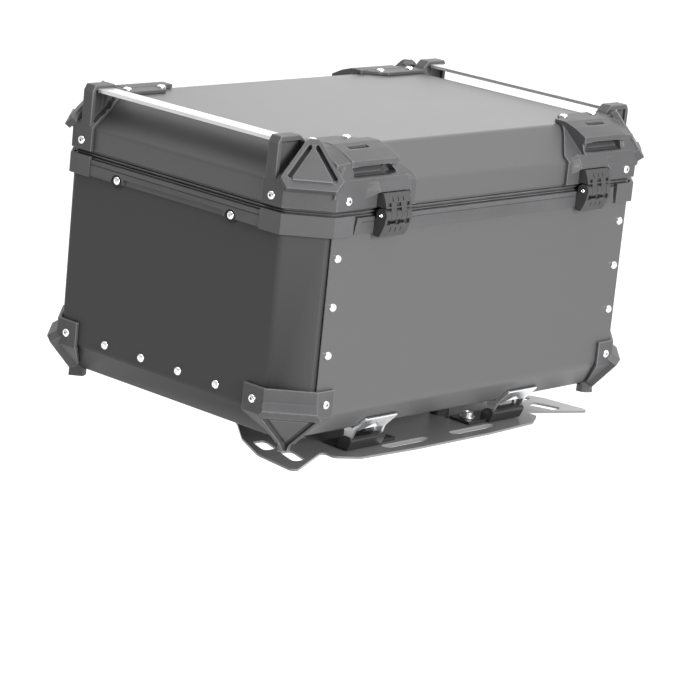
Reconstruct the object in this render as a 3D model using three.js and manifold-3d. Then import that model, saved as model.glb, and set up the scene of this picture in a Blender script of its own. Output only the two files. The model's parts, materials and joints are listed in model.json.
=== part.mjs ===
// Motorcycle top case: bent-sheet aluminium body and lid with moulded corner
// caps, two lid rails, a hinge pair, slotted lid stays, a rear latch with lock,
// and the slotted carrier plate with two claws that the case slides on to.
// Millimetres, +Z up. Origin: middle of the carrier plate's underside.
// +Y is the hinge side (towards the rider), +X the rider's right.
import * as THREE from "three";
import { mergeVertices } from "three/addons/utils/BufferGeometryUtils.js";
import Module from "manifold-3d";

// ---- driving dimensions -------------------------------------------------
const HALF_W = 285; // case half width (X)
const HALF_D = 195.8; // case half depth (Y)
const CH_X = 39; // vertical corner chamfer, along X
const CH_Y = 36; // vertical corner chamfer, along Y
const BEVEL = 35; // bottom 45 degree bevel
const SHEET = 2; // sheet thickness
const CASE_Z = 33; // case underside above the carrier plate's underside
const BODY_TOP = 243; // top of the body sheet (above case underside)
const RIM_BOTTOM = 229;
const RIM_TOP = 246.5;
const LID_BOTTOM = 256;
const LID_FOLD = 280;
const LID_TOP = 314.4;
const LID_IN_X = 38; // lid slope inset along X
const LID_IN_Y = 40; // lid slope inset along Y
const GAP = 0.3; // clearance between neighbouring pieces
const CAP_T = 4; // moulded cap wall
const RIM_CAP_X = 219; // rim corner cap starts here on the long faces
const RIM_CAP_Y = 131; // and here on the short faces
const SEAM_X = 246; // seam between wrap sheet and side panels
const PIN_Y = 208.5; // hinge axis
const PIN_Z = 249;
const HINGE_X0 = 147;
const HINGE_X1 = 187;
const STAY_R = 120; // lid stay pivots' distance from the hinge axis
const STAY_A = (10 * Math.PI) / 180; // their angle above and below it
const STAY_X = 270; // inner face of the stay arm
const PLATE_T = 5;
const RAIL_X0 = 260.6;
const RAIL_X1 = 282.7;
const RAIL_Z1 = 324.2;
const POST_Y0 = 134;
const POST_Y1 = 149;
const LOCK_Z = 228; // lid lock axis
const MLOCK_Z = 13; // carrier lock axis above the plate's underside

const wasm = await Module();
wasm.setup();

// ---- solids -------------------------------------------------------------
const BIG = 2000;
function solid(geometry) {
  let g = geometry.clone();
  for (const name of Object.keys(g.attributes))
    if (name !== "position") g.deleteAttribute(name);
  g = mergeVertices(g, 1e-4);
  return new wasm.Manifold(
    new wasm.Mesh({
      numProp: 3,
      vertProperties: new Float32Array(g.attributes.position.array),
      triVerts: new Uint32Array(g.index.array),
    }),
  );
}
function toGeometry(m) {
  const mesh = m.getMesh();
  const n = mesh.numProp;
  const src = mesh.vertProperties;
  const pos = new Float32Array((src.length / n) * 3);
  for (let i = 0; i < src.length / n; i++)
    for (let k = 0; k < 3; k++) pos[3 * i + k] = src[n * i + k];
  const g = new THREE.BufferGeometry();
  g.setAttribute("position", new THREE.BufferAttribute(pos, 3));
  g.setIndex(new THREE.BufferAttribute(new Uint32Array(mesh.triVerts), 1));
  return g;
}
function add(...s) {
  return s.reduce((a, b) => a.add(b));
}
function sub(a, ...s) {
  return s.reduce((p, q) => p.subtract(q), a);
}
function box(x0, x1, y0, y1, z0, z1) {
  const g = new THREE.BoxGeometry(x1 - x0, y1 - y0, z1 - z0);
  g.translate((x0 + x1) / 2, (y0 + y1) / 2, (z0 + z1) / 2);
  return solid(g);
}
// Cylinder with its axis along X, Y or Z, from a to b.
function rod(axis, c0, c1, r, a, b, seg = 20, r2 = r) {
  const g = new THREE.CylinderGeometry(r2, r, b - a, seg);
  g.translate(0, (a + b) / 2, 0);
  if (axis === "z") {
    g.rotateX(Math.PI / 2);
    g.translate(c0, c1, 0);
  } else if (axis === "x") {
    g.rotateZ(-Math.PI / 2);
    g.translate(0, c0, c1);
  } else {
    g.translate(c0, 0, c1);
  }
  return solid(g);
}
// A low round head on a face: axis and side give the outward direction.
function head(axis, side, c0, c1, base, r, h, seg = 10) {
  return side > 0 ? rod(axis, c0, c1, r, base - 0.8, base + h, seg, r * 0.78) : rod(axis, c0, c1, r * 0.78, base - h, base + 0.8, seg, r);
}
// Polygon extruded along an axis. x: points (y, z); y: points (x, z); z: points (x, y).
function prism(axis, pts, a, b, holes = []) {
  const shape = new THREE.Shape(pts.map((p) => new THREE.Vector2(p[0], p[1])));
  for (const h of holes) shape.holes.push(new THREE.Path(h.map((p) => new THREE.Vector2(p[0], p[1]))));
  const g = new THREE.ExtrudeGeometry(shape, { depth: b - a, bevelEnabled: false, curveSegments: 12 });
  const m = new THREE.Matrix4();
  if (axis === "z") m.makeTranslation(0, 0, a);
  else if (axis === "x") m.set(0, 0, 1, a, 1, 0, 0, 0, 0, 1, 0, 0, 0, 0, 0, 1);
  else m.set(1, 0, 0, 0, 0, 0, -1, b, 0, 1, 0, 0, 0, 0, 0, 1);
  g.applyMatrix4(m);
  return solid(g);
}
function slotPts(cx, cy, lx, ly, n = 2) {
  // rounded-end slot outline, longer of lx, ly is the long way
  const pts = [];
  const r = Math.min(lx, ly) / 2;
  const along = lx >= ly;
  const h = Math.max(lx, ly) / 2 - r;
  for (let k = 0; k < 2; k++)
    for (let i = 0; i <= n; i++) {
      const t = (-0.5 + i / n) * Math.PI + k * Math.PI;
      const s = k === 0 ? h : -h;
      const u = s + r * Math.cos(t);
      const v = r * Math.sin(t);
      pts.push(along ? [cx + u, cy + v] : [cx - v, cy + u]);
    }
  return pts;
}
function windowPts(cx, cy, lx, ly, c, lean) {
  // rectangular window with cut corners, leaning by lean along X over its length
  const hx = lx / 2;
  const hy = ly / 2;
  const pts = [[hx, -hy + c], [hx, hy - c], [hx - c, hy], [-hx + c, hy], [-hx, hy - c], [-hx, -hy + c], [-hx + c, -hy], [hx - c, -hy]];
  return pts.map(([x, y]) => [cx + x + (lean * y) / hy, cy + y]);
}
// Keeps the side n.p <= d.
function cut(s, nx, ny, nz, d) {
  const n = new THREE.Vector3(nx, ny, nz).normalize();
  const g = new THREE.BoxGeometry(BIG, BIG, BIG);
  g.translate(0, 0, BIG / 2);
  g.applyQuaternion(new THREE.Quaternion().setFromUnitVectors(new THREE.Vector3(0, 0, 1), n));
  g.translate(n.x * d, n.y * d, n.z * d);
  return s.subtract(solid(g));
}
function plane(p, q, r, inside) {
  const a = new THREE.Vector3(...p);
  const n = new THREE.Vector3(...q).sub(a).cross(new THREE.Vector3(...r).sub(a)).normalize();
  if (n.dot(new THREE.Vector3(...inside).sub(a)) > 0) n.negate();
  return [n.x, n.y, n.z, n.dot(a)];
}
function cutPlane(s, pl, off = 0) {
  return cut(s, pl[0], pl[1], pl[2], pl[3] + off);
}
function mirrored(s, sx, sy) {
  const g = toGeometry(s);
  const p = g.attributes.position.array;
  for (let i = 0; i < p.length; i += 3) {
    p[i] *= sx;
    p[i + 1] *= sy;
  }
  if (sx * sy < 0) {
    const t = g.index.array;
    for (let i = 0; i < t.length; i += 3) [t[i + 1], t[i + 2]] = [t[i + 2], t[i + 1]];
  }
  return g;
}

// ---- case outlines ------------------------------------------------------
const CN = new THREE.Vector2(CH_Y, CH_X).normalize();
const CHAMFER_D = CN.x * HALF_W + CN.y * (HALF_D - CH_Y);
function oct(off) {
  const X = HALF_W + off;
  const Y = HALF_D + off;
  const d = CHAMFER_D + off;
  const y1 = (d - CN.x * X) / CN.y;
  const x1 = (d - CN.y * Y) / CN.x;
  return [[X, -y1], [X, y1], [x1, Y], [-x1, Y], [-X, y1], [-X, -y1], [-x1, -Y], [x1, -Y]];
}
function ring(inner, outer, z0, z1) {
  return prism("z", oct(outer), z0, z1, [oct(inner).reverse()]);
}
function fourWays(s, pl, off) {
  for (const sx of [1, -1]) for (const sy of [1, -1]) s = cut(s, pl[0] * sx, pl[1] * sy, pl[2], pl[3] + off);
  return s;
}
const PA = [HALF_W, HALF_D - CH_Y];
const PB = [HALF_W - CH_X, HALF_D];
const footFacet = plane([...PA, BEVEL], [...PB, BEVEL], [HALF_W - BEVEL, HALF_D - BEVEL, 0], [0, 0, 200]);
function bodyHull(off, top) {
  let s = prism("z", oct(off), -off, top);
  const r = Math.SQRT1_2;
  for (const k of [1, -1]) {
    s = cut(s, k * r, 0, -r, (HALF_W - BEVEL) * r + off);
    s = cut(s, 0, k * r, -r, (HALF_D - BEVEL) * r + off);
  }
  return fourWays(s, footFacet, off);
}
const lidFacet = plane([...PA, LID_FOLD], [...PB, LID_FOLD], [HALF_W - LID_IN_X, HALF_D - LID_IN_Y, LID_TOP], [0, 0, 260]);
const slopeX = plane([HALF_W, -50, LID_FOLD], [HALF_W, 50, LID_FOLD], [HALF_W - LID_IN_X, 0, LID_TOP], [0, 0, 260]);
const slopeY = plane([-50, HALF_D, LID_FOLD], [50, HALF_D, LID_FOLD], [0, HALF_D - LID_IN_Y, LID_TOP], [0, 0, 260]);
function lidHull(off, bottom) {
  let s = prism("z", oct(off), bottom, LID_TOP + off);
  for (const k of [1, -1]) {
    s = cut(s, k * slopeX[0], 0, slopeX[2], slopeX[3] + off);
    s = cut(s, 0, k * slopeY[1], slopeY[2], slopeY[3] + off);
  }
  return fourWays(s, lidFacet, off);
}

// ---- materials ----------------------------------------------------------
const mat = (color, roughness, metalness) => new THREE.MeshStandardMaterial({ color, roughness, metalness });
const coated = mat(0x3d3e40, 0.5, 0.4); // powder-coated aluminium
const coatedDark = mat(0x2a2b2d, 0.5, 0.4);
const plastic = mat(0x2b2b2d, 0.6, 0);
const rubber = mat(0x121212, 0.9, 0);
const polished = mat(0xd9dadc, 0.18, 1);
const steel = mat(0xb9bbbd, 0.35, 1);
const blackSteel = mat(0x141415, 0.35, 0.6);

const group = new THREE.Group();
const carrier = new THREE.Group();
const caseGroup = new THREE.Group();
caseGroup.position.z = CASE_Z;
const lidGroup = new THREE.Group();
caseGroup.add(lidGroup);
group.add(carrier, caseGroup);
function place(parent, name, s, material) {
  const m = new THREE.Mesh(s.isBufferGeometry ? s : toGeometry(s), material);
  m.name = name;
  parent.add(m);
}

// ---- carrier plate, claws, pads, carrier lock ---------------------------
const half = [[63, 183], [145, 178], [171, 162], [168, 142], [243, 177], [248, 171], [240, 114], [212, 62], [177, 20], [118, -66], [118, -150], [100, -168], [62, -190]];
const outline = [...half.map(([x, y]) => [x, y]), ...half.map(([x, y]) => [-x, y]).reverse()].reverse();
const holes = [];
for (const s of [1, -1]) {
  holes.push(windowPts(s * 210, 95, 19, 30, 4, s * 6), windowPts(s * 211, 138.5, 18, 33, 4, s * 6));
  holes.push(slotPts(s * 56, 163, 74, 12, 3), slotPts(s * 150, 75, 12, 44), slotPts(s * 42, 40, 10, 46), slotPts(s * 42, -45, 10, 46));
}
let plate = prism("z", outline, 0, PLATE_T, holes.map((h) => h.slice().reverse()));
for (const s of [1, -1]) plate = sub(plate, rod("z", s * 76, 137, 4.4, -1, PLATE_T + 1, 10));
place(carrier, "base_plate", plate, blackSteel);

const cz = CASE_Z;
let claw = add(
  box(62, 143.7, 122, 152, PLATE_T + GAP, PLATE_T + GAP + 3.7),
  box(93.7, 143.7, 148.5, 152, PLATE_T + GAP + 1, cz - 1),
  prism("x", [[148.5, cz - 4.2], [162, cz - 4.2], [179.2, cz + 13], [179.6, cz + 14.6], [178, cz + 15.4], [176.3, cz + 15], [160.8, cz - 0.5], [148.5, cz - 0.5]], 93.7, 143.7),
  prism("x", [[151, PLATE_T + 3], [154, PLATE_T + 3], [163.5, cz - 2.7], [160, cz - 2.7], [151, cz - 2.7]], 140, 143.7),
  prism("x", [[151, PLATE_T + 3], [154, PLATE_T + 3], [163.5, cz - 2.7], [160, cz - 2.7], [151, cz - 2.7]], 93.7, 97.4),
);
claw = sub(claw, rod("z", 76, 137, 4.4, 0, 14, 10), prism("z", [[108, 164.5], [130, 164.5], [118, 172.5]], cz - 20, cz + 30));
claw = sub(claw, prism("z", [[93, 176], [100, 190], [80, 190]], cz, cz + 30), prism("z", [[144.2, 176], [157, 190], [137, 190]], cz, cz + 30));
let bolt = add(
  rod("z", 76, 137, 3.9, 0.6, PLATE_T + 5, 10),
  rod("z", 76, 137, 9, PLATE_T + GAP * 2 + 3.7, PLATE_T + 5.8, 14),
  rod("z", 76, 137, 6.5, PLATE_T + 5.6, PLATE_T + 11, 12),
);
bolt = sub(bolt, rod("z", 76, 137, 3, PLATE_T + 8, PLATE_T + 12, 6));
let pad = add(rod("z", 0, 0, 11, PLATE_T + GAP, 20, 12), rod("z", 0, 0, 15, 19.5, cz - GAP, 12));
for (const [n, sx] of [["right", 1], ["left", -1]]) {
  place(carrier, "claw_" + n, mirrored(claw, sx, 1), steel);
  place(carrier, "claw_bolt_" + n, mirrored(bolt, sx, 1), steel);
  for (const [m, y] of [["front", 100], ["rear", -90]]) {
    const g = toGeometry(pad);
    g.translate(sx * 70, y, 0);
    place(carrier, "rest_pad_" + m + "_" + n, g, rubber);
  }
}
let lockBlock = add(box(-22, 22, -182, -171, PLATE_T + GAP, 21.4), box(-30, 30, -182, -171, PLATE_T + GAP, 9));
lockBlock = sub(lockBlock, rod("y", 0, MLOCK_Z, 4.4, -190, -165, 12));
place(carrier, "carrier_lock_block", lockBlock, blackSteel);
let knob = add(rod("y", 0, MLOCK_Z, 7.2, -193, -182.4, 14), rod("y", 0, MLOCK_Z, 3.9, -183, -169.5, 12), box(-4, 12, -170.6, -167.6, MLOCK_Z - 3.2, MLOCK_Z + 3.2));
knob = sub(knob, box(-1, 1, -195, -191.5, MLOCK_Z - 4, MLOCK_Z + 4));
place(carrier, "carrier_lock_knob", knob, steel);

// ---- body ---------------------------------------------------------------
const skin = bodyHull(0, BODY_TOP).subtract(bodyHull(-SHEET, 400));
const flangeSkin = bodyHull(-SHEET - GAP, 226).subtract(bodyHull(-2 * SHEET - GAP, 400));
const joinSkin = bodyHull(-SHEET + 0.5, 226).subtract(bodyHull(-2 * SHEET - GAP, 400));
const rivetZ = [100.4, 152.5, 204.7];
const columnHoles = [];
for (const s of [1, -1]) for (const z of rivetZ) columnHoles.push(rod("y", s * 235, z, 2.6, -220, 220, 8));
const wrap = sub(skin.intersect(box(-SEAM_X + 0.2, SEAM_X - 0.2, -300, 300, -10, 300)), ...columnHoles);
const sideOuter = skin.intersect(box(SEAM_X + 0.2, 400, -300, 300, -10, 300));
const sideFlange = flangeSkin.intersect(box(222, 251, -300, 300, -10, 300));
const sideJoin = joinSkin.intersect(box(SEAM_X + 0.2, 251, -300, 300, -10, 300));
let side = add(sideOuter, sideFlange, sideJoin);
side = sub(side, ...columnHoles);
for (const y of [-87, -29, 29, 87]) side = side.subtract(rod("x", y, 48, 2.6, 270, 300, 8));
place(caseGroup, "wrap_sheet", wrap, coated);
place(caseGroup, "side_panel_right", side, coatedDark);
place(caseGroup, "side_panel_left", mirrored(side, -1, 1), coatedDark);

// backing strips with their rivets
const column = add(
  box(230, 240, HALF_D - 6.8, HALF_D - 2 * SHEET - 2 * GAP, 90, 215),
  ...rivetZ.map((z) => rod("y", 235, z, 2.2, HALF_D - 6, HALF_D + 1.4, 6)),
  ...rivetZ.map((z) => head("y", 1, 235, z, HALF_D + GAP + 0.8, 4.6, 1.9)),
);
const bottomStrip = add(
  box(HALF_W - 4.6, HALF_W - SHEET - GAP, -97, 97, 43, 53),
  ...[-87, -29, 29, 87].map((y) => rod("x", y, 48, 2.2, HALF_W - 3, HALF_W + 1.4, 6)),
  ...[-87, -29, 29, 87].map((y) => head("x", 1, y, 48, HALF_W + GAP + 0.8, 4.6, 1.9)),
);
for (const [n, sx] of [["right", 1], ["left", -1]]) {
  place(caseGroup, "rivet_strip_front_" + n, mirrored(column, sx, 1), steel);
  place(caseGroup, "rivet_strip_rear_" + n, mirrored(column, sx, -1), steel);
  place(caseGroup, "rivet_strip_side_" + n, mirrored(bottomStrip, sx, 1), steel);
}

// rim extrusions and their corner caps
const rimRing = add(ring(GAP, 3.3, RIM_BOTTOM, RIM_TOP), ring(-5, 3.3, BODY_TOP + GAP, RIM_TOP), ring(-5, -SHEET - GAP, 233, RIM_TOP));
const rimFront = rimRing.intersect(box(-RIM_CAP_X + GAP, RIM_CAP_X - GAP, 150, 300, 200, 300));
let rimRight = rimRing.intersect(box(200, 400, -RIM_CAP_Y + GAP, RIM_CAP_Y - GAP, 200, 300));
for (const y of [-87.7, 87.7]) rimRight = add(sub(rimRight, rod("x", y, 229, 7.5, HALF_W + 1.3, HALF_W + 9, 12)), head("x", 1, y, 232, HALF_W + 1.3, 4.3, 2.4));
place(caseGroup, "rim_front", rimFront, plastic);
place(caseGroup, "rim_rear", mirrored(rimFront, 1, -1), plastic);
place(caseGroup, "rim_right", rimRight, plastic);
place(caseGroup, "rim_left", mirrored(rimRight, -1, 1), plastic);
let rimCap = add(ring(GAP, 4.8, RIM_BOTTOM - 1.5, 250), ring(-5, 4.8, BODY_TOP + GAP, RIM_TOP), ring(-5, -SHEET - GAP, 233, RIM_TOP));
rimCap = rimCap.intersect(box(RIM_CAP_X, 400, RIM_CAP_Y, 400, 200, 300));
place(caseGroup, "seal", ring(-5, -0.6, RIM_TOP + GAP, 252.2), rubber);

// bottom corner caps: skin, emblem block with a recessed triangle, foot, screw bosses
const E = new THREE.Vector3(PB[0] - PA[0], PB[1] - PA[1], 0).normalize();
function frameAt(origin, down) {
  // solid extruded from (e, down) coordinates along the facet normal
  const d = new THREE.Vector3(...down).normalize();
  const n = new THREE.Vector3().crossVectors(E, d).normalize();
  if (n.x < 0) n.negate();
  const flip = new THREE.Vector3().crossVectors(E, d).dot(n) < 0;
  return (pts, n0, n1, taper = 0) => {
    const P = flip ? pts.map(([a, b]) => [-a, b]) : pts;
    const e = flip ? E.clone().negate() : E.clone();
    const area = P.reduce((s, p, i) => s + p[0] * P[(i + 1) % P.length][1] - P[(i + 1) % P.length][0] * p[1], 0);
    const Q = area < 0 ? P.slice().reverse() : P;
    const shape = new THREE.Shape(Q.map((p) => new THREE.Vector2(p[0], p[1])));
    const g = new THREE.ExtrudeGeometry(shape, {
      depth: n1 - n0 - taper,
      bevelEnabled: taper > 0,
      bevelThickness: taper,
      bevelSize: taper,
      bevelOffset: -taper,
      bevelSegments: 1,
      curveSegments: 1,
    });
    g.translate(0, 0, n0 + (taper > 0 ? 0 : 0));
    const m = new THREE.Matrix4().makeBasis(e, d, n);
    m.setPosition(...origin);
    g.applyMatrix4(m);
    return solid(g);
  };
}
const midX = (PA[0] + PB[0]) / 2;
const midY = (PA[1] + PB[1]) / 2;
const footPlate = frameAt([midX, midY, BEVEL], [HALF_W - BEVEL - midX, HALF_D - BEVEL - midY, -BEVEL]);
const footOuter = bodyHull(GAP + CAP_T, 62.8);
let bottomCap = footOuter.intersect(box(222, 400, 131, 400, -60, 62.8));
bottomCap = cutPlane(bottomCap, plane([HALF_W, 131, 33], [HALF_W - 33, 160, 0], [HALF_W - 33 + 20, 160, -20], [260, 200, 30]));
bottomCap = cutPlane(bottomCap, plane([222, HALF_D, 33], [250, HALF_D - 33, 0], [250, HALF_D - 33 + 20, -20], [280, 180, 30]));
bottomCap = add(
  bottomCap,
  footPlate([[-29, -13], [29, -13], [34, -5], [3.5, 46], [-3.5, 46], [-34, -5]], -6, 9.5),
  prism("z", [[243, 158], [254, 152], [263, 156], [264, 165], [256, 172], [246, 168]], -8.8, 6),
);
bottomCap = sub(bottomCap, bodyHull(GAP, 400));
bottomCap = sub(bottomCap, footPlate([[-24.5, -2.2], [24.5, -2.2], [0, 38.2]], 8, 12));
bottomCap = sub(bottomCap, footPlate([[-27.5, -1], [-21.5, -1], [0, 33.5], [21.5, -1], [27.5, -1], [0, 43]], 6.6, 12.5));
bottomCap = add(bottomCap, head("x", 1, 146, 48.2, HALF_W + GAP + CAP_T, 4.3, 2), head("y", 1, 235, 48, HALF_D + GAP + CAP_T, 4.3, 2));
bottomCap = cut(bottomCap, 0, 0, -1, 8.8);

const lowerLeafProfile = [[199.4, 226], [207.5, 225.6], [211, 232], [214.5, 241], [214.5, 249], [202.5, 249], [199.4, 243]];
const upperLeafProfile = [[200.4, 258.2], [202.5, 249], [214.5, 249], [214.6, 257.4], [212.2, 265], [208.6, 272.6], [200.4, 272.6]];
function leaf(profile, own, other, zBand) {
  let s = prism("x", profile, HINGE_X0, HINGE_X1).intersect(box(HINGE_X0, HINGE_X1, 190, 230, ...zBand));
  for (const [a, b] of own) {
    s = add(s, prism("x", profile, a, b));
    s = add(s, rod("x", PIN_Y, PIN_Z, 7.5, a, b, 16));
  }
  for (const [a, b] of other) s = sub(s, rod("x", PIN_Y, PIN_Z, 8.1, a - 0.4, b + 0.4, 16));
  return sub(s, rod("x", PIN_Y, PIN_Z, 2.8, HINGE_X0 - 5, HINGE_X1 + 5, 10));
}
const lowKn = [[147, 154.6], [163.4, 170.6], [179.4, 187]];
const upKn = [[155, 163], [171, 179]];
let lowerLeaf = leaf(lowerLeafProfile, lowKn, upKn, [200, 240.6]);
let upperLeaf = leaf(upperLeafProfile, upKn, lowKn, [257.4, 300]);
for (const [a, b] of [[149.5, 155], [163.6, 170.4], [179, 184.5]]) lowerLeaf = sub(lowerLeaf, prism("x", [[206, 243.5], [220, 236], [220, 242], [206, 249]], a, b).intersect(box(a, b, 211.5, 230, 200, 245)));
for (const [a, b] of [[150.5, 155.5], [163.5, 170.5], [178.5, 183.5]]) upperLeaf = sub(upperLeaf, box(a, b, 211, 230, 259, 262.5));
for (const x of [159, 167, 175]) lowerLeaf = sub(lowerLeaf, box(x - 0.6, x + 0.6, 210.2, 230, 226, 236));
for (const x of [159, 167, 175]) upperLeaf = sub(upperLeaf, box(x - 0.6, x + 0.6, 210.2, 230, 264, 270));
const pin = add(rod("x", PIN_Y, PIN_Z, 2.4, HINGE_X0 + 0.5, HINGE_X1 + 0.6, 10), rod("x", PIN_Y, PIN_Z, 4.2, HINGE_X1 + 0.3, HINGE_X1 + 2.1, 12));

const keeper = add(
  box(-24, 24, -202.6, -199.4, 219, 243),
  box(5.2, 14, -208.9, -202, LOCK_Z + 4.2, LOCK_Z + 7.8),
);
// fixed stud that the slotted stay arm slides on
const stayY = PIN_Y - STAY_R * Math.cos(STAY_A);
const studZ = PIN_Z - STAY_R * Math.sin(STAY_A);
const pivotZ = PIN_Z + STAY_R * Math.sin(STAY_A);
const stud = (z, r) => add(rod("x", stayY, z, 7, STAY_X + 3 + 0.4, STAY_X + 7, 12), rod("x", stayY, z, 4.2, STAY_X + 6, HALF_W - SHEET - GAP, 12), rod("x", stayY, z, r, STAY_X - 1, STAY_X + 5, 12), rod("x", stayY, z, 7, STAY_X - 3.4, STAY_X - 0.4, 12));
const strikerPlate = add(box(-26, 26, -164, -150, -3.4, -GAP), box(-16, 16, -164, -160.5, -10.8, -2));

for (const [n, sx] of [["right", 1], ["left", -1]]) {
  for (const [m, sy] of [["front", 1], ["rear", -1]]) {
    place(caseGroup, "rim_cap_" + m + "_" + n, mirrored(rimCap, sx, sy), plastic);
    place(caseGroup, "bottom_cap_" + m + "_" + n, mirrored(bottomCap, sx, sy), plastic);
  }
  place(caseGroup, "stay_stud_" + n, mirrored(stud(studZ, 3.8), sx, 1), steel);
  const shift = (s) => {
    const g = toGeometry(s);
    if (sx < 0) g.translate(-(HINGE_X0 + HINGE_X1), 0, 0);
    return g;
  };
  place(caseGroup, "hinge_leaf_lower_" + n, shift(lowerLeaf), plastic);
  place(caseGroup, "hinge_pin_" + n, shift(pin), steel);
  place(lidGroup, "hinge_leaf_upper_" + n, shift(upperLeaf), plastic);
}
place(caseGroup, "latch_keeper", keeper, blackSteel);
place(caseGroup, "carrier_striker", strikerPlate, blackSteel);

// ---- lid ----------------------------------------------------------------
place(lidGroup, "lid_shell", lidHull(0, LID_BOTTOM).subtract(lidHull(-SHEET, LID_BOTTOM - 20)), coated);
place(lidGroup, "lid_frame", ring(-8, -SHEET - GAP, 252.6, 262), plastic);

// lid corner cap
const T = [251, 162.4, 325.3];
const emblem = frameAt(T, [24.8, 27, -48.2]);
const lidOver = lidHull(GAP, 200);
const N = new THREE.Vector3().crossVectors(E, new THREE.Vector3(-24.8, -27, 48.2)).normalize();
if (N.x < 0) N.negate();
const ND = N.dot(new THREE.Vector3(...T));
const capSkin = lidHull(GAP + CAP_T, LID_BOTTOM);
let lidCap = add(
  capSkin.intersect(prism("z", [[134, 197], [141, 185], [149, 173], [155, 161], [160, 154.5], [183, 131], [400, 131], [400, 400], [134, 400]], 282, 400)),
  capSkin.intersect(box(134, 400, 131, 400, 200, 282.5)),
);
// carry housing over the long side's slope: flat back, sloped bar, undercut front
const barProfile = [[150, 312], [150, 319.3], [166, 319.3], [181, 314.7], [197, 307], [197, 300], [194, 299], [196.5, 291], [200.1, 288], [200.1, 270], [190, 262], [175, 290]];
const housing = prism("x", barProfile, 155, 227);
// lower saddle between the bar and the triangular plate
let saddle = prism("x", [[150, 312], [150, 317.6], [166, 317.6], [180, 312.4], [194.5, 304.5], [197.5, 291], [200.1, 288], [200.1, 270], [190, 262], [175, 290]], 226, 252);
saddle = cut(saddle, N.x, N.y, N.z, ND - 4);
// hood over the hinge
const hood = prism("x", [[198, 289], [202.6, 284], [206.2, 276], [206.2, 273.4], [198, 273.4]], 142, 191);
// block behind the triangular plate
let block = box(243, 300, 156.5, 300, 262, 320);
block = cut(block, N.x, N.y, N.z, ND - 4);
block = cut(block, CN.x, CN.y, 0, CHAMFER_D + GAP + CAP_T);
block = block.intersect(box(200, HALF_W + GAP + CAP_T, 100, HALF_D + GAP + CAP_T, 200, 400));
// post that carries the rail end
let post = prism("y", [[HALF_W + 4.6, 279], [HALF_W + 4.6, 321], [HALF_W + 0.6, 328], [258, 328], [250, 321], [246, 312], [255, 300], [275, 279]], POST_Y0, POST_Y1);
const pocket = [[284.6, 287], [284.6, 322.5], [256, 322.5], [254, 318.5], [262, 302], [274, 287]];
post = sub(post, prism("y", pocket, POST_Y0 - 1, POST_Y0 + 4.5), prism("y", pocket, POST_Y1 - 4.5, POST_Y1 + 1));
lidCap = add(lidCap, housing, saddle, hood, block, post, emblem([[-5, -1], [5, -1], [9, 3], [33, 45.5], [26, 58], [-26, 58], [-33, 45.5], [-9, 3]], -7.5, 0));
lidCap = sub(lidCap, lidOver);
// strap opening behind the carry bar, and the window above it
lidCap = sub(
  lidCap,
  prism("y", [[222, 290.8], [222, 305], [168, 300], [161, 291.2]], 187, 210),
  prism("x", [[206, 290.8], [206, 299.6], [192, 301.5], [180, 309], [180, 313.5], [168, 313.5], [168, 309.8], [189, 291.8], [193, 290.8]], 168, 222),
  box(190, 214, 168, 180, 309, 330),
  emblem([[0, 7], [25, 47], [-25, 47]], -1.6, 5),
);
lidCap = add(lidCap, head("x", 1, 145.8, 266, HALF_W + GAP + CAP_T, 4.3, 2), head("y", 1, 231, 266, HALF_D + GAP + CAP_T, 4.3, 2));
for (const x of [180.2, 231.6]) lidCap = add(lidCap, head("z", 1, x, 142, LID_TOP + GAP + CAP_T, 4.3, 1.6));
const rail = prism("y", [[RAIL_X0, RAIL_Z1 - 4], [RAIL_X1, RAIL_Z1 - 4], [RAIL_X1, RAIL_Z1 - 0.6], [RAIL_X1 - 0.6, RAIL_Z1], [RAIL_X0 + 5, RAIL_Z1], [RAIL_X0 + 4.4, RAIL_Z1 - 0.6], [RAIL_X0 + 3.4, RAIL_Z1 - 0.6], [RAIL_X0 + 2.8, RAIL_Z1], [RAIL_X0 + 0.6, RAIL_Z1], [RAIL_X0, RAIL_Z1 - 0.6]], -POST_Y0 + GAP, POST_Y0 - GAP);

// slotted lid stay arm, hanging straight down when the lid is shut
const slotTop = pivotZ - studZ - 6;
const slotEnd = 2 * STAY_R * Math.sin(STAY_A + (47.5 * Math.PI) / 180) + 6;
const armShape = slotPts(stayY, pivotZ - slotEnd / 2, 18, slotEnd + 18, 6);
const arm = prism("x", armShape, STAY_X, STAY_X + 3, [slotPts(stayY, pivotZ - (slotTop + slotEnd) / 2, 8.8, slotEnd - slotTop, 4).reverse(), slotPts(stayY, pivotZ, 8.4, 8.5, 4).reverse()]);

// latch housing, pull lever, lever pin, lock cylinder
let latch = prism("x", [[-196.1, 257], [-196.1, 279], [-203, 283], [-212.5, 279], [-215.5, 262], [-216, 250], [-214.5, 216], [-209.5, 215], [-209.5, 250], [-203, 257]], -34, 34);
latch = add(latch, prism("x", [[-212, 266], [-212, 279], [-217, 279], [-223, 275], [-223, 268], [-217, 262], [-214, 262]], 22, 28), prism("x", [[-212, 266], [-212, 279], [-217, 279], [-223, 275], [-223, 268], [-217, 262], [-214, 262]], -28, -22));
latch = sub(latch, rod("y", 0, LOCK_Z, 6.1, -230, -200, 14), rod("x", -219, 271, 2.5, -40, 40, 10));
let lever = add(
  prism("x", [[-217.3, 269.5], [-217.3, 240], [-219.5, 237.5], [-223, 237.5], [-221.8, 241], [-221.2, 271]], -20.6, 20.6),
  rod("x", -219, 271, 4, -21.6, 21.6, 12),
);
lever = sub(lever, rod("x", -219, 271, 2.5, -40, 40, 10));
const leverPin = rod("x", -219, 271, 2, -27.6, 27.6, 10);
let lock = add(rod("y", 0, LOCK_Z, 7.6, -217.8, -215.4, 16), rod("y", 0, LOCK_Z, 5.5, -216, -208.5, 14), box(-3.4, 3.4, -208.8, -205.8, LOCK_Z - 12, LOCK_Z + 3.4));
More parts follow.
